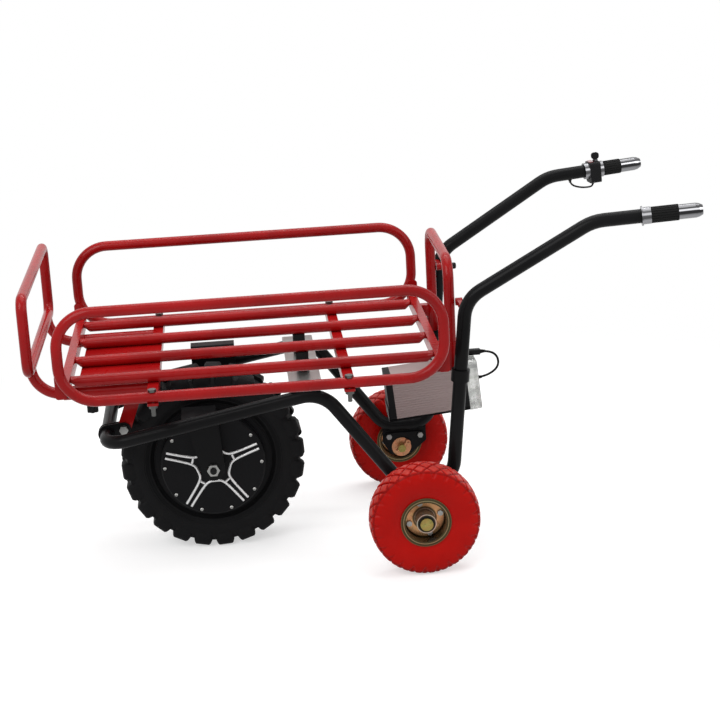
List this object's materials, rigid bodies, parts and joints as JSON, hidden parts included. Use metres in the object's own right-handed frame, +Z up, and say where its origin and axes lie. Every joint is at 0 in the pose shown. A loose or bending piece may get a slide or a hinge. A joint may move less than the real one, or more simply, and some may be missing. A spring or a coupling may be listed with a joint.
{
  "type": "electric wheelbarrow",
  "caption": "Electric hand cart with a driven front wheel, small rear wheels, a tipping slatted bed with tube fences, bent handles, a battery and a twist grip throttle.",
  "frame": {"origin": "on the floor, at the middle of the bounding box", "axes": "+X from the front fence towards the handles, +Y towards the operator's right hand, +Z up; the three wheels stand on z = 0"},
  "size_m": [1.5458, 0.715, 0.8529],
  "materials": {
    "black_paint": "semi-gloss black powder coat",
    "red_paint": "semi-gloss red powder coat",
    "steel": "bright zinc-plated steel",
    "yellow_zinc": "yellow passivated zinc",
    "motor_core": "bare laminated steel",
    "motor_black": "cast aluminium, painted black",
    "black_tyre": "matt black tyre rubber",
    "red_tyre": "red polyurethane",
    "black_rubber": "matt black rubber",
    "black_plastic": "moulded black plastic",
    "battery_aluminium": "ribbed natural aluminium",
    "cell_wrap": "shrink-wrapped cells",
    "clear_plastic": "clear moulded plastic",
    "board_green": "circuit board",
    "chrome": "bright chrome",
    "red_lens": "dark red lens"
  },
  "bodies": {
    "chassis": {"frame_tube_left": "black_paint", "frame_tube_right": "black_paint", "rest_plate": "steel", "rest_buffers": "black_rubber", "hinge_brackets": "black_paint", "dropouts": "black_paint", "motor_axle": "steel", "motor_stator": "motor_core", "axle_brackets": "black_paint", "axle_pins": "yellow_zinc", "axle_keepers": "yellow_zinc", "frame_bolts": "steel", "clamp_collars": "black_paint", "battery_case": "battery_aluminium", "battery_caps": "black_plastic", "battery_cells": "cell_wrap", "battery_tray": "black_paint", "terminal_cover": "clear_plastic", "battery_connector": "black_plastic", "power_cable": "black_rubber", "throttle_cable": "black_rubber", "controller_case": "black_paint", "controller_board": "board_green", "grip_left": "black_rubber", "grip_trim": "chrome", "throttle_housing": "black_plastic", "indicator_lens": "red_lens", "key_barrel": "chrome", "latch_brackets": "red_paint"},
    "drive_wheel": {"drive_tyre": "black_tyre", "motor_shell": "motor_black", "motor_covers": "motor_black", "cover_screws": "steel", "rotor_magnets": "motor_core", "motor_bearings": "steel"},
    "rear_wheel_left": {"rear_tyre_left": "red_tyre", "rear_rim_left": "yellow_zinc", "rim_bolts_left": "steel", "rear_hub_left": "yellow_zinc", "rear_bearings_left": "steel"},
    "rear_wheel_right": {"rear_tyre_right": "red_tyre", "rear_rim_right": "yellow_zinc", "rim_bolts_right": "steel", "rear_hub_right": "yellow_zinc", "rear_bearings_right": "steel"},
    "bed": {"bed_slats": "red_paint", "bed_end_tubes": "red_paint", "cross_members": "red_paint", "hinge_saddle": "red_paint", "side_fence_left": "red_paint", "side_fence_right": "red_paint", "fence_bolts": "steel", "fence_sockets": "red_paint"},
    "front_fence": {"front_fence": "red_paint"},
    "back_fence": {"back_fence": "red_paint"},
    "clamp_knob_left": {"clamp_knob_left": "black_plastic"},
    "clamp_knob_right": {"clamp_knob_right": "black_plastic"},
    "latch": {"latch_pin": "black_plastic"},
    "twist_grip": {"twist_grip": "black_rubber"},
    "key": {"key": "black_plastic"}
  },
  "joints": [
    {"name": "drive_wheel_spin", "type": "hinge", "parent": "chassis", "child": "drive_wheel", "pos_m": [-0.36743, 0, 0.223], "axis": [0, 1, 0], "continuous": true},
    {"name": "rear_wheel_left_spin", "type": "hinge", "parent": "chassis", "child": "rear_wheel_left", "pos_m": [0.11557, -0.3025, 0.13], "axis": [0, 1, 0], "continuous": true},
    {"name": "rear_wheel_right_spin", "type": "hinge", "parent": "chassis", "child": "rear_wheel_right", "pos_m": [0.11557, 0.3025, 0.13], "axis": [0, 1, 0], "continuous": true},
    {"name": "bed_tip", "type": "hinge", "parent": "chassis", "child": "bed", "pos_m": [-0.56943, 0, 0.345], "axis": [0, -1, 0], "range_deg": [0, 60]},
    {"name": "front_fence_slide", "type": "slide", "parent": "bed", "child": "front_fence", "axis": [-1, 0, 0], "range_m": [0, 0.12]},
    {"name": "back_fence_lift", "type": "slide", "parent": "bed", "child": "back_fence", "axis": [0, 0, 1], "range_m": [0, 0.08]},
    {"name": "clamp_knob_left_turn", "type": "hinge", "parent": "bed", "child": "clamp_knob_left", "pos_m": [-0.62943, -0.228, 0.451], "axis": [0, 0, 1], "range_deg": [-180, 180]},
    {"name": "clamp_knob_right_turn", "type": "hinge", "parent": "bed", "child": "clamp_knob_right", "pos_m": [-0.62943, 0.228, 0.451], "axis": [0, 0, 1], "range_deg": [-180, 180]},
    {"name": "latch_slide", "type": "slide", "parent": "chassis", "child": "latch", "axis": [-1, 0, 0], "range_m": [0, 0.01]},
    {"name": "twist_grip_turn", "type": "hinge", "parent": "chassis", "child": "twist_grip", "pos_m": [0.71739, 0.30584, 0.8126], "axis": [0.9913, 0.114, 0.0658], "range_deg": [0, 65], "stiffness_Nm_per_rad": 0.3},
    {"name": "key_turn", "type": "hinge", "parent": "chassis", "child": "key", "pos_m": [0.65399, 0.29854, 0.83044], "axis": [-0.0654, -0.0075, 0.9978], "range_deg": [0, 90]}
  ]
}
